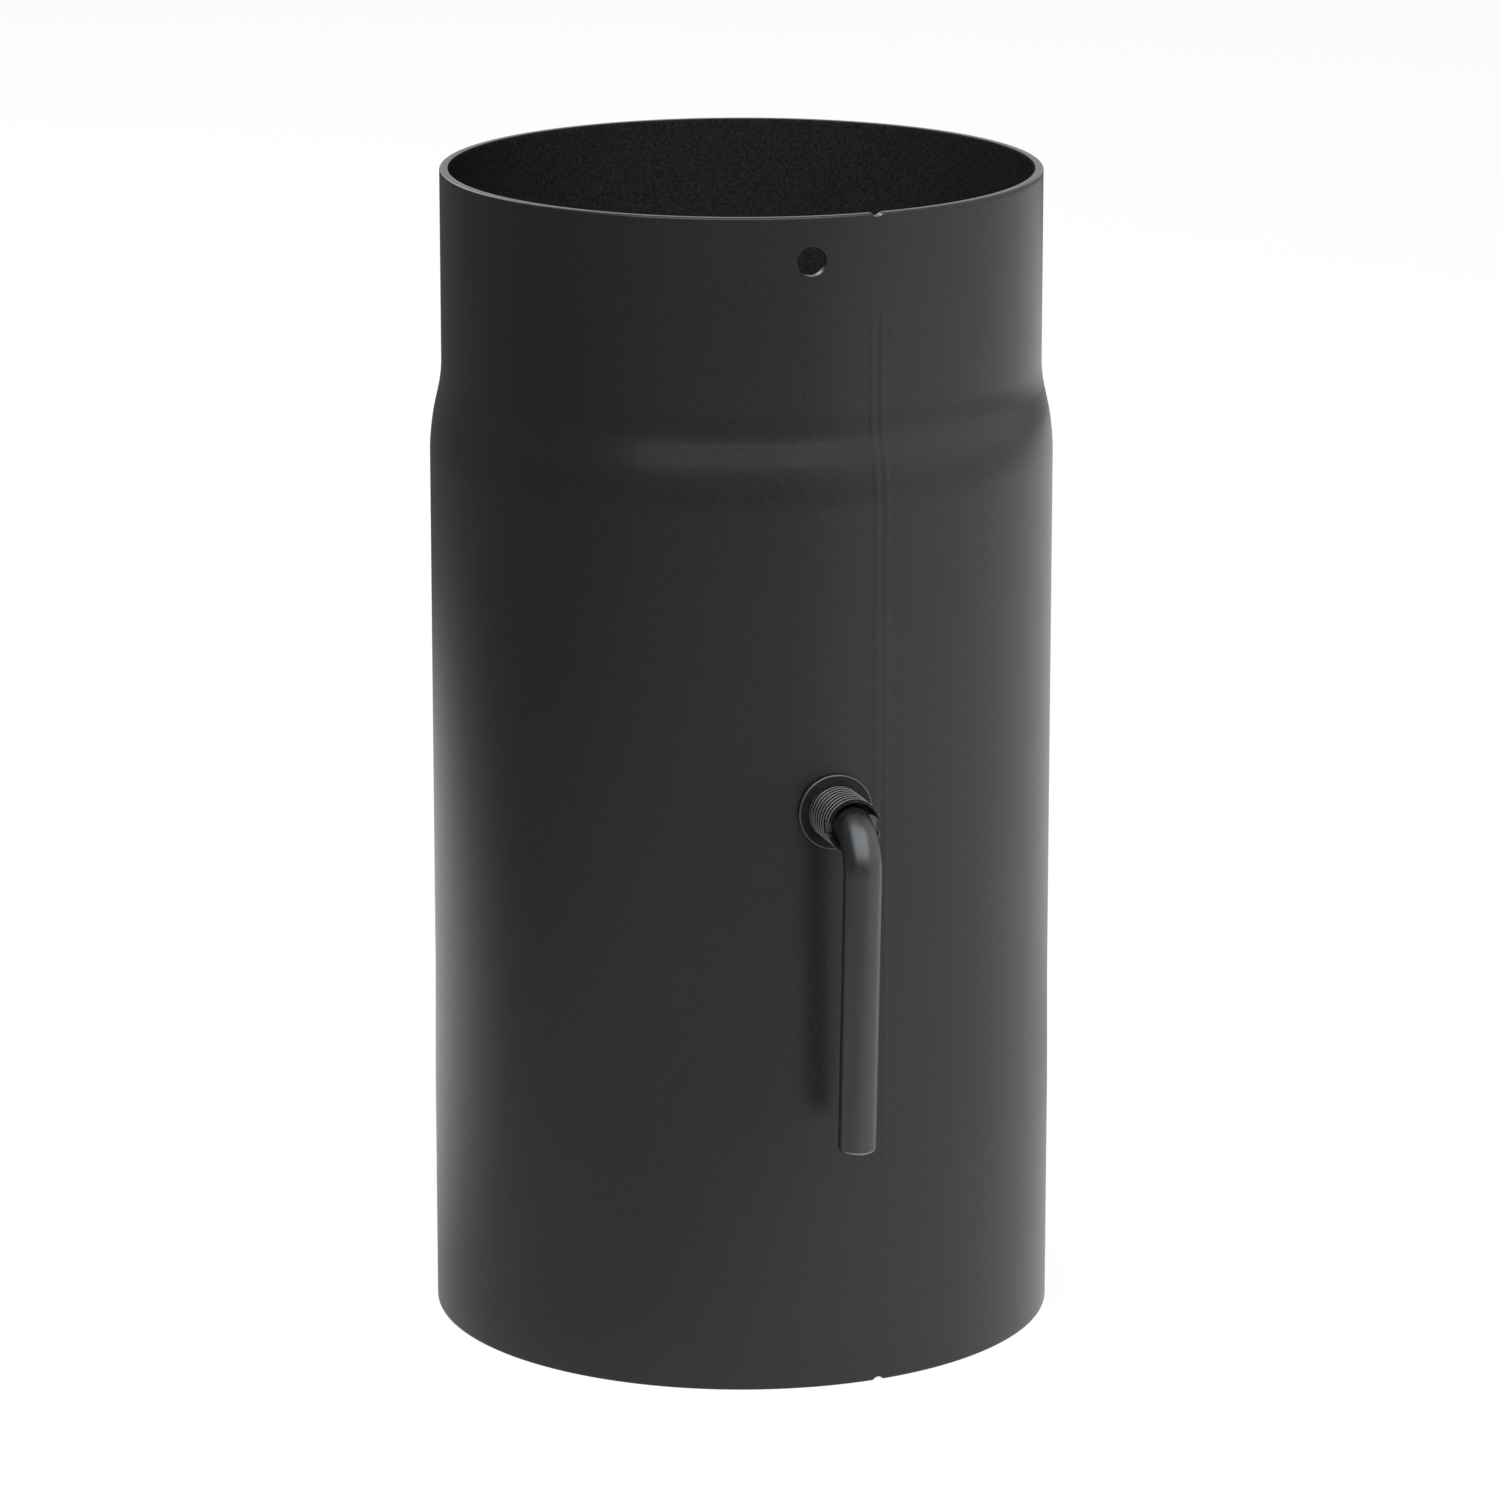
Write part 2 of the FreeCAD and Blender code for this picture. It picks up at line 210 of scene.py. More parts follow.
bpy.ops.mesh.normals_make_consistent(inside=False)
bpy.ops.object.mode_set(mode="OBJECT")
wall = pipe.modifiers.new("wall", "SOLIDIFY")
wall.thickness = pipe_wall
wall.offset = -1
wall.use_even_offset = True
bpy.ops.object.modifier_apply(modifier=wall.name)
bpy.ops.object.mode_set(mode="EDIT")


def on_rounded_rim(a, b):
    """The spigot's two rim edges, and the outer one at the socket."""
    level = abs(a.z - b.z) < 1e-6
    at_spigot = a.z > pipe_length - 1e-5
    at_socket = a.z < 1e-5 and a.xy.length > pipe_outer
    around = abs(a.xy.length - b.xy.length) < 1e-6
    return level and around and (at_spigot or at_socket)


pick(pipe, "EDGE", on_rounded_rim)
bpy.ops.mesh.bevel(offset=rim_round, offset_type="OFFSET", segments=rim_round_steps, profile=0.5)

# The weld shows as two low rounded ridges side by side, fainter at the socket.
# They are ground off on a slant below the spigot's rim.
seam_line = round_pipe_direction(seam_turn)
seam_across = Vector((-seam_line.y, seam_line.x, 0))
seam_half_angle = seam_segments * math.pi / pipe_segments


def seam_angle(point):
    """The angle round the pipe from the seam's middle, or a large one on the far side."""
    if point.dot(seam_line) < 0:
        return math.pi
    return math.atan2(point.dot(seam_across), point.dot(seam_line))


def along_seam_strip(a, b):
    """Edges that run round the pipe within the seam's width."""
    level = abs(a.z - b.z) < 1e-7 and abs(a.xy.length - b.xy.length) < 1e-6
    return level and max(abs(seam_angle(a)), abs(seam_angle(b))) < seam_half_angle + 1e-4


def below_slant(point, drop):
    """Whether a point lies below the slanted end of the seam, or below a line parallel to it."""
    return point.z < seam_top - drop + seam_top_slope * point.dot(seam_across) - 1e-6


pick(pipe, "EDGE", along_seam_strip)
bpy.ops.mesh.subdivide(number_cuts=seam_cuts)
for drop in (0, seam_run_out):
    pick(
        pipe,
        "FACE",
        lambda centre, normal: abs(seam_angle(centre)) < seam_half_angle
        and normal.dot(seam_line) > 0.5
        and centre.z > spigot_foot,
    )
    bpy.ops.mesh.bisect(
        plane_co=(0, 0, seam_top - drop), plane_no=Vector((0, 0, 1)) - seam_top_slope * seam_across
    )
seam_columns = seam_segments * (seam_cuts + 1)
for column in range(1, seam_columns):
    column_angle = seam_half_angle * (2 * column / seam_columns - 1)
    ridge_share = (1 - math.cos(4 * math.pi * column / seam_columns)) / 2
    for lowest in (2 * rim_notch_depth, socket_lead_end - 1e-4):
        pick(
            pipe,
            "VERT",
            lambda co, normal: abs(seam_angle(co) - column_angle) < seam_half_angle / seam_columns / 2
            and normal.dot(seam_line) > 0.5
            and co.z > lowest
            and below_slant(co, seam_run_out / 2),
        )
        bpy.ops.transform.translate(value=seam_line * seam_rise * ridge_share / 2)

hole_out = round_pipe_direction(hanging_hole_turn)
hole_middle = hole_out * spigot_outer + Vector((0, 0, hanging_hole_height))
combine(
    pipe,
    add_rod(
        hanging_hole_radius,
        hole_middle - hole_out * 4 * pipe_wall,
        hole_middle + hole_out * pipe_wall,
    ),
    "DIFFERENCE",
)
combine(
    pipe,
    add_rod(nut_hole_radius, (0, -wall_cut_outer, shaft_height), (0, -wall_cut_inner, shaft_height)),
    "DIFFERENCE",
)
combine(
    pipe,
    add_rod(shaft_hole_radius, (0, wall_cut_inner, shaft_height), (0, wall_cut_outer, shaft_height)),
    "DIFFERENCE",
)
combine(pipe, add_rim_notch(pipe_length), "DIFFERENCE")
combine(pipe, add_rim_notch(0), "DIFFERENCE")


def new_finish(name):
    """A fresh material, its nodes and links, its shader and the piece's own coordinates."""
    finish = bpy.data.materials.new(name)
    finish.use_nodes = True
    nodes = finish.node_tree.nodes
    place = nodes.new("ShaderNodeTexCoord").outputs["Object"]
    return finish, nodes, finish.node_tree.links, nodes["Principled BSDF"], place


def noise(nodes, links, place, scale, detail, roughness=0.5):
    """A noise pattern on the piece's own coordinates."""
    pattern = nodes.new("ShaderNodeTexNoise")
    pattern.inputs["Scale"].default_value = scale
    pattern.inputs["Detail"].default_value = detail
    pattern.inputs["Roughness"].default_value = roughness
    links.new(place, pattern.inputs["Vector"])
    return pattern.outputs["Fac"]


def graded(nodes, links, value, stops):
    """A colour ramp from a list of (place, grey or colour)."""
    ramp = nodes.new("ShaderNodeValToRGB")
    ramp.color_ramp.elements.remove(ramp.color_ramp.elements[1])
    for index, (place, tone) in enumerate(stops):
        colour = tone if isinstance(tone, tuple) else (tone, tone, tone)
        stop = ramp.color_ramp.elements[0] if index == 0 else ramp.color_ramp.elements.new(place)
        stop.position = place
        stop.color = (*colour, 1)
    links.new(value, ramp.inputs["Fac"])
    return ramp.outputs["Color"]


def mixed(nodes, links, blend, factor, first, second):
    """Two colours mixed by a constant factor."""
    mix = nodes.new("ShaderNodeMix")
    mix.data_type = "RGBA"
    mix.blend_type = blend
    mix.inputs["Factor"].default_value = factor
    links.new(first, mix.inputs["A"])
    links.new(second, mix.inputs["B"])
    return mix.outputs["Result"]


def rescaled(nodes, links, value, low, high):
    """A noise's middle range carried over to another range."""
    scale = nodes.new("ShaderNodeMapRange")
    scale.inputs["From Min"].default_value = 0.3
    scale.inputs["From Max"].default_value = 0.7
    scale.inputs["To Min"].default_value = low
    scale.inputs["To Max"].default_value = high
    links.new(value, scale.inputs["Value"])
    return scale.outputs["Result"]


def bumped(nodes, links, height, distance, shader):
    """Surface relief from a height pattern."""
    bump = nodes.new("ShaderNodeBump")
    bump.inputs["Strength"].default_value = 0.6
    bump.inputs["Distance"].default_value = distance
    links.new(height, bump.inputs["Height"])
    links.new(bump.outputs["Normal"], shader.inputs["Normal"])


def stove_paint(name, dark, light, grain_scale, grain_height, rough_low, rough_high, specular):
    """Matte heat-proof paint with a fine dry grain and faint cloudy patches."""
    finish, nodes, links, shader, place = new_finish(name)
    grain = noise(nodes, links, place, scale=grain_scale, detail=3, roughness=0.6)
    cloud = noise(nodes, links, place, scale=22, detail=2)
    tone = graded(nodes, links, grain, [(0.3, dark), (0.72, light)])
    patches = graded(nodes, links, cloud, [(0.3, 0.86), (0.7, 1.0)])
    links.new(mixed(nodes, links, "MULTIPLY", 1.0, tone, patches), shader.inputs["Base Color"])
    links.new(rescaled(nodes, links, grain, rough_low, rough_high), shader.inputs["Roughness"])
    bumped(nodes, links, grain, grain_height, shader)
    shader.inputs["Specular IOR Level"].default_value = specular
    return finish


pipe.data.materials.append(
    stove_paint(
        "paint_outside",
        dark=(0.0084, 0.0082, 0.008),
        light=(0.016, 0.0156, 0.0154),
        grain_scale=2100,
        grain_height=0.00003,
        rough_low=0.27,
        rough_high=0.33,
        specular=0.5,
    )
)
# The inside gets its own matte copy of the paint, with no gloss, as painted shade.
pipe.data.materials.append(
    stove_paint(
        "paint_inside_shade",
        dark=(0.0095, 0.0095, 0.0095),
        light=(0.036, 0.0356, 0.0352),
        grain_scale=1900,
        grain_height=0.00006,
        rough_low=0.6,
        rough_high=0.75,
        specular=0.0,
    )
)
bpy.ops.object.mode_set(mode="EDIT")
pick(pipe, "FACE", lambda centre, normal: normal.xy.dot(centre.xy.normalized()) < -0.5)
pipe.active_material_index = 1
bpy.ops.object.material_slot_assign()
finish_piece(pipe, smooth_angle=32)
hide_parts("pipe_body")
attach(pipe, "pipe")

# Flanged nut: a threaded steel insert, turned on a lathe, set in a hole in the front wall.
# Its thin flange lies on the outside of the sheet, its barrel is upset against the inside,
# and the flange is painted over with the pipe in a darker tone, its rounded edge lighter as a painted
# highlight.

flange_front = -0.06805
flange_back = -0.06705
flange_radius = 0.00805
flange_edge_round = 0.00028
barrel_radius = 0.00685
upset_front = -0.06446
upset_back = -0.06206
upset_radius = 0.00795
upset_edge_round = 0.0005
nut_bore_radius = 0.0059
turned_segments = 96


def turned_ring(name, rings, segments=turned_segments):
    """A closed turned piece on the shaft's line, through rings of (place along Y, radius)."""
    (first_place, first_radius), *others = rings
    bpy.ops.object.select_all(action="DESELECT")
    bpy.ops.mesh.primitive_circle_add(
        vertices=segments,
        radius=first_radius,
        fill_type="NOTHING",
        location=(0, first_place, shaft_height),
        rotation=(math.pi / 2, 0, 0),
    )
    piece = start_piece(name)
    for (y_before, r_before), (y_after, r_after) in zip(rings, others + rings[:1]):
        bpy.ops.mesh.extrude_region_move(TRANSFORM_OT_translate={"value": (0, y_after - y_before, 0)})
        bpy.ops.transform.resize(
            value=(r_after / r_before, 1, r_after / r_before), center_override=(0, y_after, shaft_height)
        )
    bpy.ops.mesh.select_all(action="SELECT")
    bpy.ops.mesh.remove_doubles(threshold=1e-6)
    bpy.ops.mesh.normals_make_consistent(inside=False)
    return piece


def distance_from_shaft(point):
    """How far a point lies from the shaft's line."""
    return math.hypot(point.x, point.z - shaft_height)


def round_ring_edge(piece, place, radius, size, steps=4):
    """Rounds the circular edge at one place along the shaft."""

    def at_edge(point):
        return abs(point.y - place) < 1e-5 and abs(distance_from_shaft(point) - radius) < 1e-5

    pick(piece, "EDGE", lambda a, b: at_edge(a) and at_edge(b))
    bpy.ops.mesh.bevel(offset=size, offset_type="OFFSET", segments=steps, profile=0.5)


nut = turned_ring(
    "flanged_nut_painted",
    [
        (flange_front, nut_bore_radius),
        (flange_front, flange_radius),
        (flange_back, flange_radius),
        (flange_back, barrel_radius),
        (upset_front, barrel_radius),
        (upset_front, upset_radius),
        (upset_back, upset_radius),
        (upset_back, nut_bore_radius),
    ],
)
round_ring_edge(nut, flange_front, flange_radius, flange_edge_round)
round_ring_edge(nut, upset_front, upset_radius, upset_edge_round)
round_ring_edge(nut, upset_back, upset_radius, upset_edge_round)
bpy.ops.object.mode_set(mode="OBJECT")
nut.data.materials.append(
    stove_paint(
        "paint_flange",
        dark=(0.004, 0.004, 0.0039),
        light=(0.012, 0.0118, 0.0115),
        grain_scale=1500,
        grain_height=0.00002,
        rough_low=0.3,
        rough_high=0.4,
        specular=0.3,
    )
)
nut.data.materials.append(
    stove_paint(
        "paint_edge_highlight",
        dark=(0.035, 0.035, 0.034),
        light=(0.075, 0.075, 0.073),
        grain_scale=1500,
        grain_height=0.00002,
        rough_low=0.26,
        rough_high=0.34,
        specular=0.8,
    )
)
bpy.ops.object.mode_set(mode="EDIT")
# The flange's rounded front edge gets a lighter paint as a painted highlight.
pick(
    nut,
    "FACE",
    lambda centre, normal: centre.y < flange_front + flange_edge_round
    and distance_from_shaft(centre) > flange_radius - flange_edge_round,
)
nut.active_material_index = 1
bpy.ops.object.material_slot_assign()
finish_piece(nut, smooth_angle=40)
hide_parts("flanged_nut")
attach(nut, "pipe")

# Slotted screw: a hollow steel screw that the shaft runs through, screwed into the nut.
# Its thread is rolled, and a screwdriver slot is sawn across its widened mouth.
# Overspray covers it thinly, so the thread's crests shine a little.

screw_mouth = -0.0806
screw_inner_end = -0.0605
screw_radius = 0.00585
screw_mouth_chamfer = 0.00025
screw_end_chamfer = 0.0007
screw_blank_radius = 0.00595
thread_pitch = 0.0015
thread_root_radius = 0.00541
thread_bead_height = 0.00052
thread_bead_width = 0.00048
thread_bead_sides = 12
thread_steps = 71
mouth_radius = 0.0052
mouth_depth = 0.0032
screw_bore_radius = 0.00406
slot_width = 0.003
slot_depth = 0.0032
worn_from_radius = 0.00572
worn_full_radius = 0.00584
worn_steel = (0.62, 0.62, 0.61)


def add_thread_bead(start, turns):
    """A rounded bead wound as a helix round the shaft's line, closed at both ends."""
    bpy.ops.object.select_all(action="DESELECT")
    bpy.ops.mesh.primitive_circle_add(
        vertices=thread_bead_sides,
        radius=thread_bead_height,
        fill_type="NOTHING",
        rotation=(math.pi / 2, 0, 0),
    )
    bead = start_piece("thread_bead")
    bpy.ops.transform.resize(value=(1, 1, thread_bead_width / thread_bead_height))
    bpy.ops.transform.translate(value=(screw_radius - thread_bead_height, 0, 0))
    bpy.ops.object.mode_set(mode="OBJECT")
    helix = bead.modifiers.new("helix", "SCREW")
    helix.axis = "Z"
    helix.angle = 2 * math.pi * turns
    helix.screw_offset = thread_pitch * turns
    helix.steps = round(thread_steps * turns)
    helix.render_steps = helix.steps
    helix.use_normal_calculate = True
    bpy.ops.object.modifier_apply(modifier=helix.name)
    bpy.ops.object.mode_set(mode="EDIT")
    bpy.ops.mesh.select_all(action="SELECT")
    bpy.ops.mesh.remove_doubles(threshold=1e-7)
    bpy.ops.mesh.fill_holes(sides=0)
    bpy.ops.mesh.select_all(action="SELECT")
    bpy.ops.mesh.normals_make_consistent(inside=False)
    bpy.ops.object.mode_set(mode="OBJECT")
    bead.rotation_euler = (-math.pi / 2, 0, 0)
    bead.location = (0, start, shaft_height)
    bpy.ops.object.transform_apply(location=True, rotation=True, scale=True)
    return bead


def add_block(low, high):
    """A plain box between two corners, to cut with."""
    if bpy.context.mode != "OBJECT":
        bpy.ops.object.mode_set(mode="OBJECT")
    bpy.ops.object.select_all(action="DESELECT")
    bpy.ops.mesh.primitive_cube_add(
        size=1, location=(Vector(low) + Vector(high)) / 2, scale=Vector(high) - Vector(low)
    )
    bpy.ops.object.transform_apply(location=True, rotation=True, scale=True)
    return bpy.context.object


screw = add_rod(
    thread_root_radius,
    (0, screw_mouth - thread_pitch, shaft_height),
    (0, screw_inner_end + thread_pitch, shaft_height),
    turned_segments,
)
screw.name = "slotted_screw_painted"
screw.data.name = screw.name
thread_turns = math.ceil((screw_inner_end - screw_mouth) / thread_pitch) + 4
combine(screw, add_thread_bead(screw_mouth - 2 * thread_pitch, thread_turns), "UNION")
screw_blank = add_rod(
    screw_blank_radius, (0, screw_mouth, shaft_height), (0, screw_inner_end, shaft_height), turned_segments
)
bpy.ops.object.mode_set(mode="EDIT")
round_ring_edge(screw_blank, screw_mouth, screw_blank_radius, screw_mouth_chamfer, steps=1)
round_ring_edge(screw_blank, screw_inner_end, screw_blank_radius, screw_end_chamfer, steps=1)
combine(screw, screw_blank, "INTERSECT")
combine(
    screw,
    add_rod(
        screw_bore_radius,
        (0, screw_mouth - slot_depth, shaft_height),
        (0, screw_inner_end + slot_depth, shaft_height),
        turned_segments,
    ),
    "DIFFERENCE",
)
combine(
    screw,
    add_rod(
        mouth_radius,
        (0, screw_mouth - slot_depth, shaft_height),
        (0, screw_mouth + mouth_depth, shaft_height),
        turned_segments,
    ),
    "DIFFERENCE",
)
combine(
    screw,
    add_block(
        (-2 * screw_radius, screw_mouth - slot_depth, shaft_height - slot_width / 2),
        (2 * screw_radius, screw_mouth + slot_depth, shaft_height + slot_width / 2),
    ),
    "DIFFERENCE",
)
bpy.ops.object.mode_set(mode="EDIT")
bpy.ops.mesh.select_all(action="SELECT")
bpy.ops.mesh.remove_doubles(threshold=1e-6)
bpy.ops.mesh.fill_holes(sides=4)


def worn_thread_paint(name, dark, light):
    """Thin paint over a thread, rubbed through to dull steel along the crests."""
    finish, nodes, links, shader, place = new_finish(name)
    grain = noise(nodes, links, place, scale=1900, detail=3, roughness=0.6)
    from_line = nodes.new("ShaderNodeVectorMath")
    from_line.operation = "SUBTRACT"
    from_line.inputs[1].default_value = (0, 0, shaft_height)
    links.new(place, from_line.inputs[0])
    across_line = nodes.new("ShaderNodeVectorMath")
    across_line.operation = "MULTIPLY"
    across_line.inputs[1].default_value = (1, 0, 1)
    links.new(from_line.outputs["Vector"], across_line.inputs[0])
    distance = nodes.new("ShaderNodeVectorMath")
    distance.operation = "LENGTH"
    links.new(across_line.outputs["Vector"], distance.inputs[0])
    wear = nodes.new("ShaderNodeMapRange")
    wear.interpolation_type = "SMOOTHSTEP"
    wear.inputs["From Min"].default_value = worn_from_radius
    wear.inputs["From Max"].default_value = worn_full_radius
    links.new(distance.outputs["Value"], wear.inputs["Value"])
    tone = nodes.new("ShaderNodeMix")
    tone.data_type = "RGBA"
    links.new(wear.outputs["Result"], tone.inputs["Factor"])
    links.new(graded(nodes, links, grain, [(0.3, dark), (0.72, light)]), tone.inputs["A"])
    tone.inputs["B"].default_value = (*worn_steel, 1)
    links.new(tone.outputs["Result"], shader.inputs["Base Color"])
    links.new(wear.outputs["Result"], shader.inputs["Metallic"])
    shader.inputs["Specular IOR Level"].default_value = 0.1
    links.new(rescaled(nodes, links, grain, low=0.28, high=0.4), shader.inputs["Roughness"])
    bumped(nodes, links, grain, distance=0.00002, shader=shader)
    return finish


screw.data.materials.append(
    worn_thread_paint("paint_thread", dark=(0.003, 0.003, 0.003), light=(0.01, 0.01, 0.0098))
)
screw.data.materials.append(bpy.data.materials["paint_inside_shade"])
screw.data.materials.append(
    stove_paint(
        "paint_slot",
        dark=(0.05, 0.05, 0.049),
        light=(0.1, 0.1, 0.098),
        grain_scale=1900,
        grain_height=0.00002,
        rough_low=0.3,
        rough_high=0.4,
        specular=0.8,
    )
)
bpy.ops.object.mode_set(mode="EDIT")
# The bore and mouth get the dark inside paint as painted shade.
pick(
    screw,
    "FACE",
    lambda centre, normal: distance_from_shaft(centre) < mouth_radius + 1e-4
    and normal.x * centre.x + normal.z * (centre.z - shaft_height) < 0,
)
screw.active_material_index = 1
bpy.ops.object.material_slot_assign()
pick(
    screw,
    "FACE",
    lambda centre, normal: abs(centre.z - shaft_height) < slot_width / 2 + 1e-5
    and screw_mouth + 1e-4 < centre.y < screw_mouth + slot_depth + 1e-5
    and max(abs(normal.y), abs(normal.z)) > 0.99,
)
screw.active_material_index = 2
bpy.ops.object.material_slot_assign()
finish_piece(screw, smooth_angle=35)
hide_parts("slotted_screw")
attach(screw, "pipe")

# Handle and shaft: one length of 8 mm round bar, bent down outside as the handle.
# Inside it is milled flat for the plate and drilled for the plate's screws and the split pin.
# It is painted outside, its rounded end is light bare steel as a painted highlight, and its shaft inside
# is painted shade.

rod_radius = 0.004
rod_segments = 64
rod_tail = 0.0705
rod_tail_round = 0.0015
bend_start = -0.0778
bend_radius = 0.0085
bend_angle = math.radians(93)
bend_steps = 32
handle_drop = 0.0693
handle_end_round = 0.001
end_highlight_share = 0.8
rod_round_steps = 6
cross_hole_sides = 32
flat_height = 0.0015
flat_front = -0.03925
flat_back = 0.0628
spot_face = -0.003
spot_face_length = 0.01
plate_screw_places = {"front": -0.02295, "rear": 0.0425}
plate_hole_radius = 0.00215
split_pin_place = -0.04195
split_pin_hole_radius = 0.00105

bpy.ops.object.select_all(action="DESELECT")
bpy.ops.mesh.primitive_circle_add(
    vertices=rod_segments,
    radius=rod_radius,
    fill_type="NOTHING",
    location=(0, rod_tail, shaft_height),
    rotation=(math.pi / 2, 0, 0),
)
rod = start_piece("handle_rod_painted")
bpy.ops.mesh.extrude_region_move(TRANSFORM_OT_translate={"value": (0, bend_start - rod_tail, 0)})
bpy.ops.mesh.spin(
    steps=bend_steps,
    angle=-bend_angle,
    center=(0, bend_start, shaft_height - bend_radius),
    axis=(1, 0, 0),
)
bar_line = Vector((0, -math.cos(bend_angle), -math.sin(bend_angle)))
bar_length = (handle_drop - bend_radius * (1 - math.cos(bend_angle))) / math.sin(bend_angle)
bpy.ops.mesh.extrude_region_move(TRANSFORM_OT_translate={"value": bar_line * bar_length})
bpy.ops.mesh.edge_face_add()
pick(rod, "EDGE", lambda a, b: abs(a.y - rod_tail) < 1e-6 and abs(b.y - rod_tail) < 1e-6)
bpy.ops.mesh.edge_face_add()
bpy.ops.mesh.bevel(
    offset=rod_tail_round, offset_type="OFFSET", segments=rod_round_steps, profile=0.5
)
bar_top = Vector((0, bend_start - bend_radius * math.sin(bend_angle), 0))
bar_top.z = shaft_height - bend_radius * (1 - math.cos(bend_angle))
bar_end = bar_top + bar_line * bar_length
pick(
    rod,
    "EDGE",
    lambda a, b: abs((a - bar_end).dot(bar_line)) < 1e-6 and abs((b - bar_end).dot(bar_line)) < 1e-6,
)
bpy.ops.mesh.bevel(
    offset=handle_end_round, offset_type="OFFSET", segments=rod_round_steps, profile=0.5
)
bpy.ops.mesh.select_all(action="SELECT")
bpy.ops.mesh.remove_doubles(threshold=1e-6)
bpy.ops.mesh.normals_make_consistent(inside=False)
rod_reach = 2 * rod_radius
combine(
    rod,
    add_block(
        (flat_height, flat_front, shaft_height - rod_reach),
        (rod_reach, flat_back, shaft_height + rod_reach),
    ),
    "DIFFERENCE",
)
for place in plate_screw_places.values():
    combine(
        rod,
        add_block(
            (-rod_reach, place - spot_face_length / 2, shaft_height - rod_reach),
            (spot_face, place + spot_face_length / 2, shaft_height + rod_reach),
        ),
        "DIFFERENCE",
    )
    combine(
        rod,
        add_rod(
            plate_hole_radius,
            (-rod_reach, place, shaft_height),
            (rod_reach, place, shaft_height),
            cross_hole_sides,
        ),
        "DIFFERENCE",
    )
combine(
    rod,
    add_rod(
        split_pin_hole_radius,
        (0, split_pin_place, shaft_height - rod_reach),
        (0, split_pin_place, shaft_height + rod_reach),
        cross_hole_sides,
    ),
    "DIFFERENCE",
)


def drawn_bar_paint(name, dark, light):
    """Paint over drawn bar, whose faint lines along the bar still show through."""
    finish, nodes, links, shader, place = new_finish(name)
    stretch = nodes.new("ShaderNodeMapping")
    stretch.inputs["Scale"].default_value = (1, 0.06, 0.06)
    links.new(place, stretch.inputs["Vector"])
    lines = noise(nodes, links, stretch.outputs["Vector"], scale=2600, detail=2)
    grain = noise(nodes, links, place, scale=1800, detail=3, roughness=0.6)
    relief = mixed(nodes, links, "ADD", 0.35, grain, lines)
    tone = graded(nodes, links, grain, [(0.3, dark), (0.72, light)])
    streaks = graded(nodes, links, lines, [(0.3, 0.85), (0.7, 1.0)])
    links.new(mixed(nodes, links, "MULTIPLY", 1.0, tone, streaks), shader.inputs["Base Color"])
    links.new(rescaled(nodes, links, grain, low=0.29, high=0.37), shader.inputs["Roughness"])
    bumped(nodes, links, relief, distance=0.00004, shader=shader)
    shader.inputs["Specular IOR Level"].default_value = 1.0
    return finish


rod.data.materials.append(
    drawn_bar_paint("paint_handle", dark=(0.006, 0.006, 0.0059), light=(0.014, 0.0138, 0.0136))
)
rod.data.materials.append(bpy.data.materials["paint_inside_shade"])
end_highlight_steel = stove_paint(
    "steel_end_highlight",
    dark=(0.22, 0.22, 0.215),
    light=(0.38, 0.38, 0.37),
    grain_scale=1500,
    grain_height=0.00002,
    rough_low=0.26,
    rough_high=0.34,
    specular=0.5,
)
end_highlight_steel.node_tree.nodes["Principled BSDF"].inputs["Metallic"].default_value = 1.0
rod.data.materials.append(end_highlight_steel)
bpy.ops.object.mode_set(mode="EDIT")
# The shaft from the screw's mouth inwards gets the dark inside paint as painted shade.
pick(
    rod,
    "FACE",
    lambda centre, normal: screw_mouth < centre.y < flat_back + 1e-5
    and centre.z > shaft_height - 2 * rod_radius,
)
rod.active_material_index = 1
bpy.ops.object.material_slot_assign()
# The handle's rounded end is made light bare steel as a painted highlight.
pick(
    rod,
    "FACE",
    lambda centre, normal: -end_highlight_share * handle_end_round
    < (centre - bar_end).dot(bar_line)
    < -1e-5,
)
rod.active_material_index = 2
bpy.ops.object.material_slot_assign()
finish_piece(rod, smooth_angle=35)
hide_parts("handle_rod")
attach(rod, "damper")

# Seat washer: a stamped steel washer, left bare, between the screw's inner end and the spring.
# It stays with the screw while the shaft turns in it.

washer_radius = 0.0065
washer_hole_radius = 0.0042
washer_thickness = 0.001
washer_edge_round = 0.0002
washer_segments = 64


def bare_steel(name, dark, light, rough_low, rough_high):
    """Bare steel with a cloudy mill finish and fine scratches."""
    finish, nodes, links, shader, place = new_finish(name)
    cloud = noise(nodes, links, place, scale=260, detail=3)
    grain = noise(nodes, links, place, scale=3200, detail=2)
    tone = graded(nodes, links, cloud, [(0.3, dark), (0.7, light)])
    specks = graded(nodes, links, grain, [(0.3, 0.8), (0.6, 1.0)])
    links.new(mixed(nodes, links, "MULTIPLY", 1.0, tone, specks), shader.inputs["Base Color"])
    links.new(rescaled(nodes, links, cloud, rough_low, rough_high), shader.inputs["Roughness"])
    bumped(nodes, links, grain, distance=0.00001, shader=shader)
    shader.inputs["Metallic"].default_value = 1.0
    return finish


def copy_piece(piece, name, move):
    """A copy of a piece, with a mesh of its own, moved to another place."""
    bpy.ops.object.select_all(action="DESELECT")
    piece.select_set(True)
    bpy.context.view_layer.objects.active = piece
    bpy.ops.object.duplicate(linked=False)
    copy = bpy.context.object
    copy.name = name
    copy.data.name = name
    bpy.ops.transform.translate(value=move)
    bpy.ops.object.transform_apply(location=True, rotation=True, scale=True)
    return copy


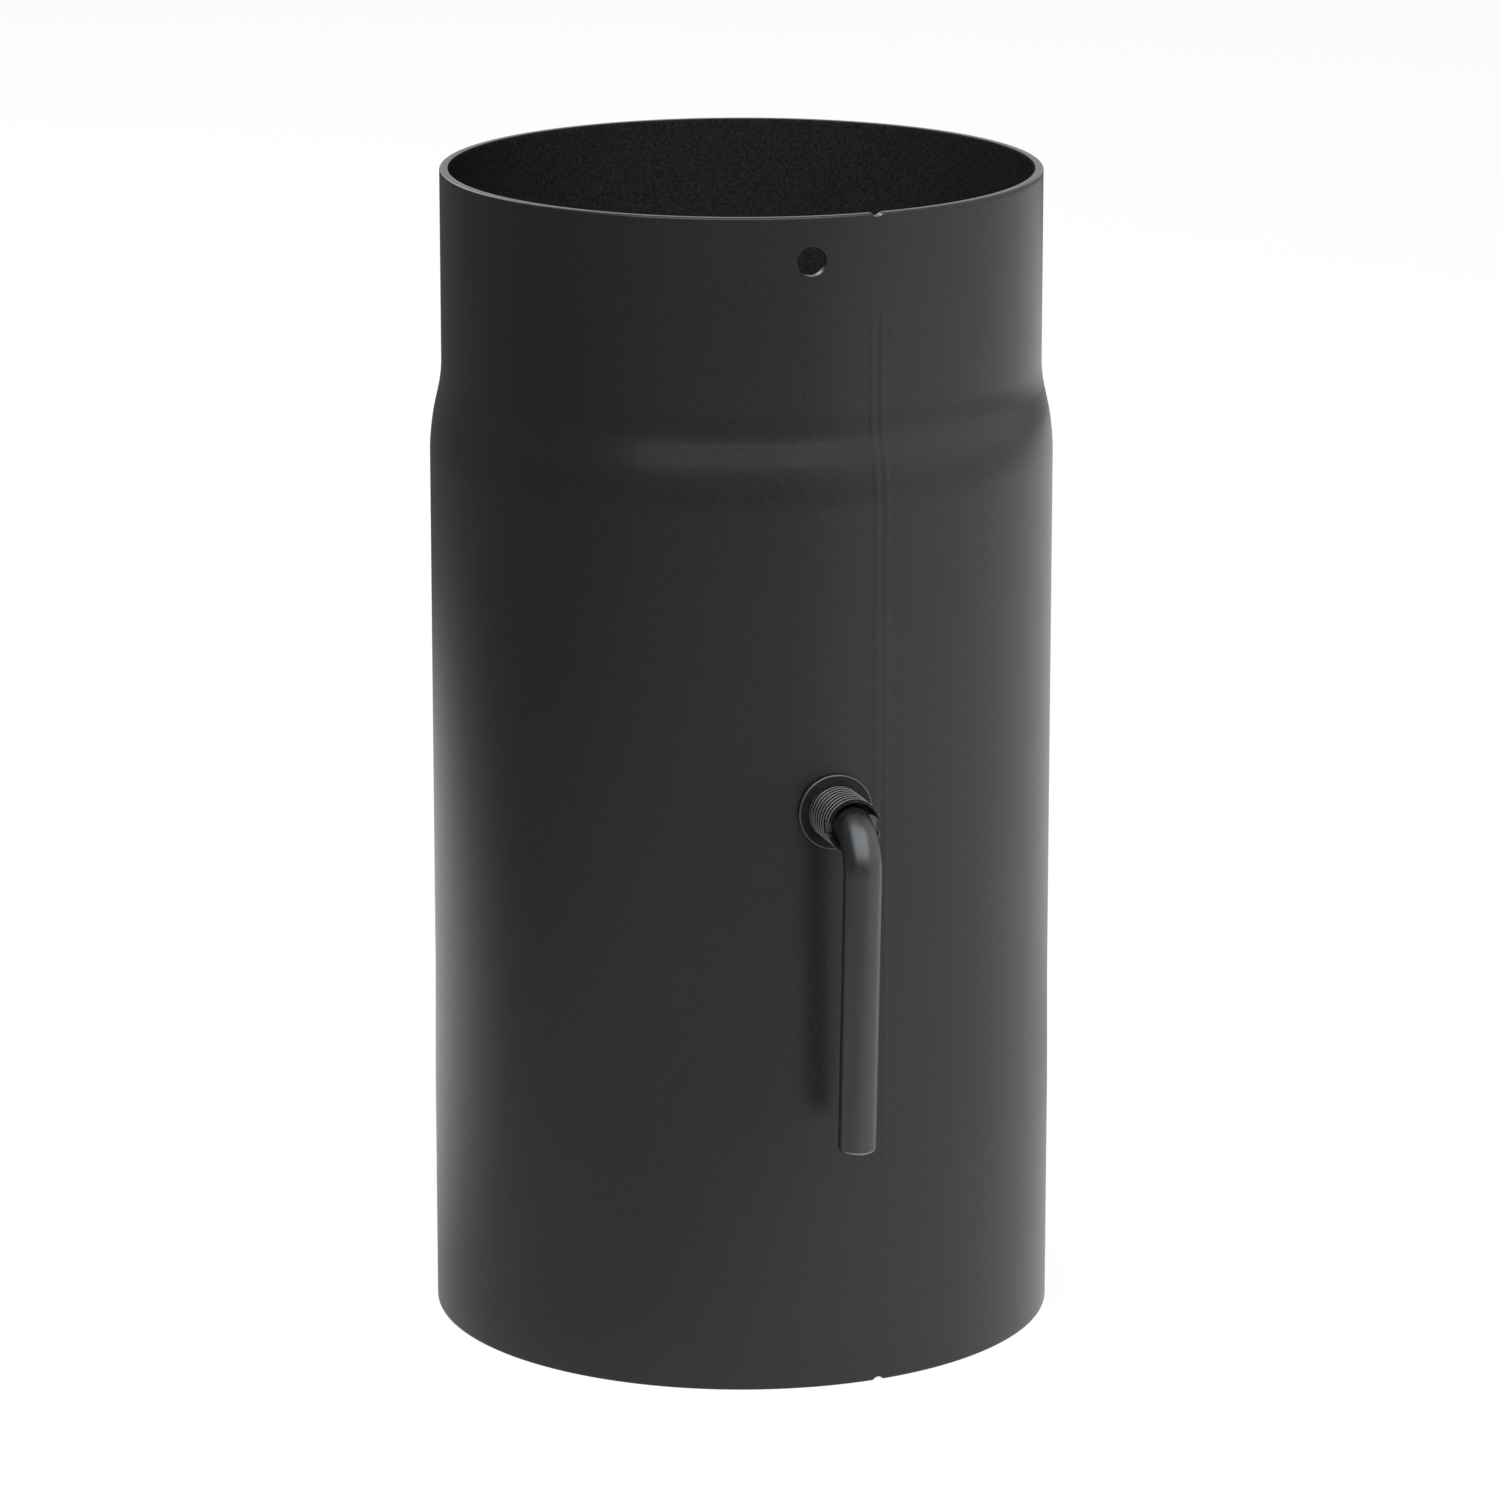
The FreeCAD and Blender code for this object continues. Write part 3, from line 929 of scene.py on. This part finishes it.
washer_back = screw_inner_end + washer_thickness
seat_washer = turned_ring(
    "seat_washer_bare",
    [
        (screw_inner_end, washer_hole_radius),
        (screw_inner_end, washer_radius),
        (washer_back, washer_radius),
        (washer_back, washer_hole_radius),
    ],
    washer_segments,
)
round_ring_edge(seat_washer, screw_inner_end, washer_radius, washer_edge_round, steps=3)
round_ring_edge(seat_washer, washer_back, washer_radius, washer_edge_round, steps=3)
finish_piece(seat_washer, smooth_angle=40)
washer_steel = bare_steel(
    "steel_washer", dark=(0.3, 0.295, 0.29), light=(0.46, 0.455, 0.45), rough_low=0.3, rough_high=0.5
)
seat_washer.data.materials.append(washer_steel)
# The stop washer is copied before the calls below mark this one as the seat washer.
stop_washer_front = -0.044
stop_washer = copy_piece(seat_washer, "stop_washer_bare", (0, stop_washer_front - screw_inner_end, 0))
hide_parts("seat_washer")
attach(seat_washer, "pipe")

# Friction spring: a compression spring wound from 1.2 mm spring steel wire, its end turns closed.
# It pushes the stop washer inwards, so the handle is drawn to the bush and the damper stays put.

spring_wire_radius = 0.0006
spring_wire_sides = 12
spring_coil_radius = 0.0053
spring_front = -0.05945
spring_length = 0.0154
spring_open_turns = 4.5
spring_closed_turns = 1
spring_closed_pitch = 0.0013
spring_steps_per_turn = 36

bpy.ops.object.select_all(action="DESELECT")
bpy.ops.mesh.primitive_circle_add(
    vertices=spring_wire_sides,
    radius=spring_wire_radius,
    fill_type="NOTHING",
    location=(spring_coil_radius, spring_front + spring_wire_radius, shaft_height),
)
spring = start_piece("friction_spring_bare")
spring_turns = spring_open_turns + 2 * spring_closed_turns
spring_open_rise = spring_length - 2 * spring_wire_radius - 2 * spring_closed_turns * spring_closed_pitch
spring_steps = round(spring_turns * spring_steps_per_turn)
for step in range(spring_steps):
    middle_turn = (step + 0.5) / spring_steps_per_turn
    in_open_coil = spring_closed_turns < middle_turn < spring_turns - spring_closed_turns
    pitch = spring_open_rise / spring_open_turns if in_open_coil else spring_closed_pitch
    bpy.ops.mesh.extrude_region_move(
        TRANSFORM_OT_translate={"value": (0, pitch / spring_steps_per_turn, 0)}
    )
    bpy.ops.transform.rotate(
        value=2 * math.pi / spring_steps_per_turn,
        orient_axis="Y",
        orient_type="GLOBAL",
        center_override=(0, 0, shaft_height),
    )
bpy.ops.mesh.edge_face_add()
pick(
    spring,
    "VERT",
    lambda co, normal: abs(co.z - shaft_height) < 1e-6
    and co.x > 0
    and co.y < spring_front + 2.05 * spring_wire_radius,
)
bpy.ops.mesh.edge_face_add()
bpy.ops.mesh.select_all(action="SELECT")
bpy.ops.mesh.normals_make_consistent(inside=False)
finish_piece(spring, smooth_angle=50)
spring.data.materials.append(
    bare_steel(
        "steel_spring", dark=(0.2, 0.195, 0.19), light=(0.34, 0.335, 0.33), rough_low=0.25, rough_high=0.4
    )
)
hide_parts("friction_spring")
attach(spring, "damper")

# Stop washer: the seat washer's twin, a stamped steel ring left bare, at the spring's other end.
# The spring pushes it against the split pin, and it turns with the shaft.

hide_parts("stop_washer")
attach(stop_washer, "damper")

# Split pin: half-round steel wire folded to an eye, pushed through the shaft and spread below.
# It keeps the stop washer, and so the spring, from sliding off along the shaft.

frame["nodes"]["split_pin"].data.materials.clear()
frame["nodes"]["split_pin"].data.materials.append(washer_steel)

# Throttle plate: a disc of 1.5 mm steel sheet, a little smaller than the pipe's bore.
# It is notched at the front to clear the spring, and painted.

plate_radius = 0.0625
plate_thickness = 0.0015
plate_segments = 240
plate_notch_end = -0.03895
plate_notch_half_width = 0.0128
plate_notch_round = 0.004
plate_notch_steps = 12
plate_edge_round = 0.00018
plate_edge_angle = math.radians(50)

bpy.ops.object.select_all(action="DESELECT")
bpy.ops.mesh.primitive_cylinder_add(
    vertices=plate_segments,
    radius=plate_radius,
    depth=plate_thickness,
    location=(flat_height + plate_thickness / 2, 0, shaft_height),
    rotation=(0, math.pi / 2, 0),
)
plate = start_piece("throttle_plate_painted")
notch = add_block(
    (flat_height - plate_thickness, -2 * plate_radius, shaft_height - plate_notch_half_width),
    (flat_height + 2 * plate_thickness, plate_notch_end, shaft_height + plate_notch_half_width),
)
bpy.ops.object.mode_set(mode="EDIT")
pick(
    notch,
    "EDGE",
    lambda a, b: abs(a.y - plate_notch_end) < 1e-6
    and abs(b.y - plate_notch_end) < 1e-6
    and abs(a.x - b.x) > 1e-6,
)
bpy.ops.mesh.bevel(
    offset=plate_notch_round, offset_type="OFFSET", segments=plate_notch_steps, profile=0.5
)
combine(plate, notch, "DIFFERENCE")
for place in plate_screw_places.values():
    combine(
        plate,
        add_rod(
            plate_hole_radius,
            (-rod_reach, place, shaft_height),
            (rod_reach, place, shaft_height),
            cross_hole_sides,
        ),
        "DIFFERENCE",
    )
plate_edges = plate.modifiers.new("edges", "BEVEL")
plate_edges.width = plate_edge_round
plate_edges.segments = 2
plate_edges.limit_method = "ANGLE"
plate_edges.angle_limit = plate_edge_angle
bpy.ops.object.modifier_apply(modifier=plate_edges.name)
finish_piece(plate, smooth_angle=35)
# The plate gets the dark inside paint as painted shade.
plate.data.materials.append(bpy.data.materials["paint_inside_shade"])
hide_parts("throttle_plate")
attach(plate, "damper")

# Plate screws, washers and nuts: zinc-plated M4 hexagon screws hold the plate on the shaft's flat.
# Each has a washer and a nut on the shaft's far side, where a spot face seats them.

hexagon_width = 0.007
screw_head_height = 0.0028
screw_shank_radius = 0.002
screw_tip = -0.008
screw_tip_chamfer = 0.0004
shank_overlap = 0.0001
small_turned_sides = 48
hexagon_chamfer = 0.0005
hexagon_cone_sides = 64
plate_washer_radius = 0.0045
plate_washer_thickness = 0.0008
plate_nut_height = 0.0032
plate_nut_play = 0.00005
head_seat = flat_height + plate_thickness
zinc = bare_steel(
    "steel_zinc", dark=(0.42, 0.42, 0.43), light=(0.6, 0.6, 0.61), rough_low=0.22, rough_high=0.4
)


def hexagon_block(name, x_start, x_end, place, chamfered_ends):
    """A hexagonal head or nut on a plate screw's line, its corners turned off to a cone."""
    corner_radius = hexagon_width / math.sqrt(3)
    start = (x_start, place, shaft_height)
    end = (x_end, place, shaft_height)
    hexagon = add_rod(corner_radius, start, end, sides=6)
    hexagon.name = name
    hexagon.data.name = name
    cone = add_rod(corner_radius, start, end, hexagon_cone_sides)
    bpy.ops.object.mode_set(mode="EDIT")
    for x in chamfered_ends:
        pick(cone, "EDGE", lambda a, b: abs(a.x - x) < 1e-6 and abs(b.x - x) < 1e-6)
        bpy.ops.mesh.bevel(offset=hexagon_chamfer, offset_type="OFFSET", segments=1)
    combine(hexagon, cone, "INTERSECT")
    return hexagon


front_place = plate_screw_places["front"]
front_bolt = hexagon_block(
    "plate_screw_zinc_front",
    head_seat,
    head_seat + screw_head_height,
    front_place,
    [head_seat + screw_head_height],
)
shank = add_rod(
    screw_shank_radius,
    (screw_tip, front_place, shaft_height),
    (head_seat + shank_overlap, front_place, shaft_height),
    small_turned_sides,
)
bpy.ops.object.mode_set(mode="EDIT")
pick(shank, "EDGE", lambda a, b: abs(a.x - screw_tip) < 1e-6 and abs(b.x - screw_tip) < 1e-6)
bpy.ops.mesh.bevel(offset=screw_tip_chamfer, offset_type="OFFSET", segments=1)
combine(front_bolt, shank, "UNION")
finish_piece(front_bolt, smooth_angle=30)

plate_washer_back = spot_face - plate_washer_thickness
front_washer = add_rod(
    plate_washer_radius,
    (spot_face, front_place, shaft_height),
    (plate_washer_back, front_place, shaft_height),
    small_turned_sides,
)
front_washer.name = "plate_washer_zinc_front"
front_washer.data.name = front_washer.name
combine(
    front_washer,
    add_rod(
        plate_hole_radius,
        (-rod_reach, front_place, shaft_height),
        (rod_reach, front_place, shaft_height),
        cross_hole_sides,
    ),
    "DIFFERENCE",
)
washer_edges = front_washer.modifiers.new("edges", "BEVEL")
washer_edges.width = plate_edge_round
washer_edges.segments = 2
washer_edges.limit_method = "ANGLE"
bpy.ops.object.modifier_apply(modifier=washer_edges.name)
finish_piece(front_washer, smooth_angle=40)

front_nut = hexagon_block(
    "plate_nut_zinc_front",
    plate_washer_back - plate_nut_height,
    plate_washer_back,
    front_place,
    [plate_washer_back - plate_nut_height, plate_washer_back],
)
combine(
    front_nut,
    add_rod(
        screw_shank_radius + plate_nut_play,
        (-2 * rod_reach, front_place, shaft_height),
        (rod_reach, front_place, shaft_height),
        small_turned_sides,
    ),
    "DIFFERENCE",
)
finish_piece(front_nut, smooth_angle=30)

to_rear = (0, plate_screw_places["rear"] - front_place, 0)
for kind, front_piece in (("screw", front_bolt), ("washer", front_washer), ("nut", front_nut)):
    front_piece.data.materials.append(zinc)
    rear_piece = copy_piece(front_piece, f"plate_{kind}_zinc_rear", to_rear)
    for side, piece in (("front", front_piece), ("rear", rear_piece)):
        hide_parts(f"plate_{kind}_{side}")
        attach(piece, "damper")

# Studio: a white floor, a white backdrop behind and dimmer surroundings in front,
# a low warm soft box at the right, a large cooler one overhead in front and one behind.

bpy.ops.object.select_all(action="DESELECT")
floor_width = 12
bpy.ops.mesh.primitive_plane_add(size=floor_width)
floor = bpy.context.object
floor.name = "floor"
floor_white_share = 0.88
floor_seen_strength = 1.05
floor_gloss_beyond = 0.14
floor_white = bpy.data.materials.new("floor_white")
floor_white.use_nodes = True
floor_nodes = floor_white.node_tree.nodes
floor_links = floor_white.node_tree.links
floor_shader = floor_nodes["Principled BSDF"]
floor_shader.inputs["Base Color"].default_value = (0.9, 0.9, 0.9, 1)
floor_shader.inputs["Roughness"].default_value = 1.0
floor_shader.inputs["Specular IOR Level"].default_value = 0.0
floor_glow = floor_nodes.new("ShaderNodeEmission")
floor_glow.inputs["Color"].default_value = (1, 1, 1, 1)
floor_path = floor_nodes.new("ShaderNodeLightPath")
floor_seen = floor_nodes.new("ShaderNodeMath")
floor_seen.operation = "MULTIPLY"
floor_links.new(floor_path.outputs["Is Camera Ray"], floor_seen.inputs[0])
floor_seen.inputs[1].default_value = floor_white_share
floor_white_level = floor_nodes.new("ShaderNodeMath")
floor_white_level.operation = "MULTIPLY"
floor_links.new(floor_path.outputs["Is Camera Ray"], floor_white_level.inputs[0])
floor_white_level.inputs[1].default_value = floor_seen_strength
floor_place = floor_nodes.new("ShaderNodeTexCoord").outputs["Object"]


def floor_pool(middle, full_radius, edge_radius, strength):
    """A round patch of floor that shows bright in the gloss and fades out towards its edge."""
    from_middle = floor_nodes.new("ShaderNodeVectorMath")
    from_middle.operation = "DISTANCE"
    from_middle.inputs[1].default_value = middle
    floor_links.new(floor_place, from_middle.inputs[0])
    fade = floor_nodes.new("ShaderNodeMapRange")
    fade.interpolation_type = "SMOOTHSTEP"
    fade.inputs["From Min"].default_value = full_radius
    fade.inputs["From Max"].default_value = edge_radius
    fade.inputs["To Min"].default_value = strength
    fade.inputs["To Max"].default_value = floor_gloss_beyond
    floor_links.new(from_middle.outputs["Value"], fade.inputs["Value"])
    return fade.outputs["Result"]


def brighter_of(nodes, links, first, second):
    """The larger of two values."""
    larger = nodes.new("ShaderNodeMath")
    larger.operation = "MAXIMUM"
    links.new(first, larger.inputs[0])
    links.new(second, larger.inputs[1])
    return larger.outputs["Value"]


floor_gloss = floor_pool(middle=(1.0, 0.3, 0), full_radius=0.7, edge_radius=1.0, strength=0.95)
for pool in (
    floor_pool(middle=(0.85, -0.5, 0), full_radius=0.65, edge_radius=1.0, strength=0.9),
    floor_pool(middle=(0.15, -0.5, 0), full_radius=0.55, edge_radius=0.95, strength=0.52),
    floor_pool(middle=(0.2, -0.12, 0), full_radius=0.15, edge_radius=0.45, strength=0.9),
    floor_pool(middle=(-0.1, 0.32, 0), full_radius=0.1, edge_radius=0.45, strength=0.95),
):
    floor_gloss = brighter_of(floor_nodes, floor_links, floor_gloss, pool)
floor_mirrored = floor_nodes.new("ShaderNodeMath")
floor_mirrored.operation = "MULTIPLY"
floor_links.new(floor_path.outputs["Is Glossy Ray"], floor_mirrored.inputs[0])
floor_links.new(floor_gloss, floor_mirrored.inputs[1])
floor_level = brighter_of(
    floor_nodes, floor_links, floor_white_level.outputs["Value"], floor_mirrored.outputs["Value"]
)
floor_links.new(floor_level, floor_glow.inputs["Strength"])
floor_share = brighter_of(
    floor_nodes, floor_links, floor_seen.outputs["Value"], floor_path.outputs["Is Glossy Ray"]
)
floor_mix = floor_nodes.new("ShaderNodeMixShader")
floor_links.new(floor_share, floor_mix.inputs["Fac"])
floor_links.new(floor_shader.outputs["BSDF"], floor_mix.inputs[1])
floor_links.new(floor_glow.outputs["Emission"], floor_mix.inputs[2])
floor_links.new(floor_mix.outputs["Shader"], floor_nodes["Material Output"].inputs["Surface"])
floor.data.materials.append(floor_white)

surroundings_fill = 0.08
surroundings_gloss = 0.14
world = bpy.data.worlds.new("white_surroundings")
bpy.context.scene.world = world
world.use_nodes = True
sky_nodes = world.node_tree.nodes
sky_links = world.node_tree.links
sky_fill = sky_nodes["Background"]
sky_fill.inputs["Color"].default_value = (1, 1, 1, 1)
sky_fill.inputs["Strength"].default_value = surroundings_fill
sky_seen = sky_nodes.new("ShaderNodeBackground")
sky_seen.inputs["Color"].default_value = (1, 1, 1, 1)
sky_path = sky_nodes.new("ShaderNodeLightPath")
sky_direction = sky_nodes.new("ShaderNodeTexCoord").outputs["Generated"]


def sky_panel(line, edge, full, strength):
    """A soft-edged bright side of the surroundings that shows in the gloss, round a direction."""
    towards = sky_nodes.new("ShaderNodeVectorMath")
    towards.operation = "DOT_PRODUCT"
    towards.inputs[1].default_value = line
    sky_links.new(sky_direction, towards.inputs[0])
    fade = sky_nodes.new("ShaderNodeMapRange")
    fade.interpolation_type = "SMOOTHSTEP"
    fade.inputs["From Min"].default_value = edge
    fade.inputs["From Max"].default_value = full
    fade.inputs["To Min"].default_value = surroundings_gloss
    fade.inputs["To Max"].default_value = strength
    sky_links.new(towards.outputs["Value"], fade.inputs["Value"])
    return fade.outputs["Result"]


backdrop = sky_panel(line=(0.5, 0.866, 0), edge=0.8, full=1.0, strength=1.0)
right_side = sky_panel(line=(0.9, -0.3, 0.3), edge=0.35, full=0.95, strength=1.0)
sky_mirrored = brighter_of(sky_nodes, sky_links, backdrop, right_side)
sky_plain = brighter_of(
    sky_nodes, sky_links, sky_path.outputs["Is Camera Ray"], sky_path.outputs["Is Transmission Ray"]
)
sky_strength = brighter_of(sky_nodes, sky_links, sky_plain, sky_mirrored)
sky_links.new(sky_strength, sky_seen.inputs["Strength"])
sky_any = brighter_of(sky_nodes, sky_links, sky_plain, sky_path.outputs["Is Glossy Ray"])
sky_mix = sky_nodes.new("ShaderNodeMixShader")
sky_links.new(sky_any, sky_mix.inputs["Fac"])
sky_links.new(sky_fill.outputs["Background"], sky_mix.inputs[1])
sky_links.new(sky_seen.outputs["Background"], sky_mix.inputs[2])
sky_links.new(sky_mix.outputs["Shader"], sky_nodes["World Output"].inputs["Surface"])


soft_box_aim = Vector((0, 0, 0.13))


def add_soft_box(name, place, width, height, power, colour, mirrored):
    """A soft box that faces the pipe's middle, and may show in the gloss."""
    bpy.ops.object.select_all(action="DESELECT")
    bpy.ops.object.light_add(type="AREA", location=place)
    lamp = bpy.context.object
    lamp.name = name
    lamp.rotation_euler = (soft_box_aim - Vector(place)).to_track_quat("-Z", "Y").to_euler()
    lamp.data.shape = "RECTANGLE"
    lamp.data.size = width
    lamp.data.size_y = height
    lamp.data.energy = power
    lamp.data.color = colour
    lamp.visible_glossy = mirrored


add_soft_box(
    "soft_box_above",
    place=(-0.3, -0.9, 1.45),
    width=2.6,
    height=2.2,
    power=45,
    colour=(0.9, 0.96, 1.0),
    mirrored=True,
)
add_soft_box(
    "soft_box_right",
    place=(1.1, -0.7, 0.12),
    width=1.3,
    height=0.22,
    power=14,
    colour=(1.0, 0.87, 0.75),
    mirrored=False,
)
add_soft_box(
    "soft_box_behind",
    place=(-0.5, 1.4, 1.1),
    width=1.4,
    height=0.9,
    power=12,
    colour=(1.0, 0.98, 0.96),
    mirrored=True,
)

# Camera: it stands where the photograph was taken from, about 1.5 m away with a long lens,
# above the spigot's rim and a little to the left of the handle.

camera_turn = math.radians(16.91)
camera_distance = 1.5052
camera_height = 0.5066
camera_pitch = math.radians(14.281)
camera_lens = 171.27
camera_sensor = 36
camera_shift = 0.00575
camera_reach = 50
bpy.ops.object.camera_add(
    location=(
        -camera_distance * math.sin(camera_turn),
        -camera_distance * math.cos(camera_turn),
        camera_height,
    ),
    rotation=(math.pi / 2 - camera_pitch, 0, -camera_turn),
)
camera = bpy.context.object
camera.data.sensor_width = camera_sensor
camera.data.lens = camera_lens
camera.data.shift_x = camera_shift
camera.data.clip_end = camera_reach
bpy.context.scene.camera = camera
bpy.context.scene.view_settings.view_transform = "Standard"
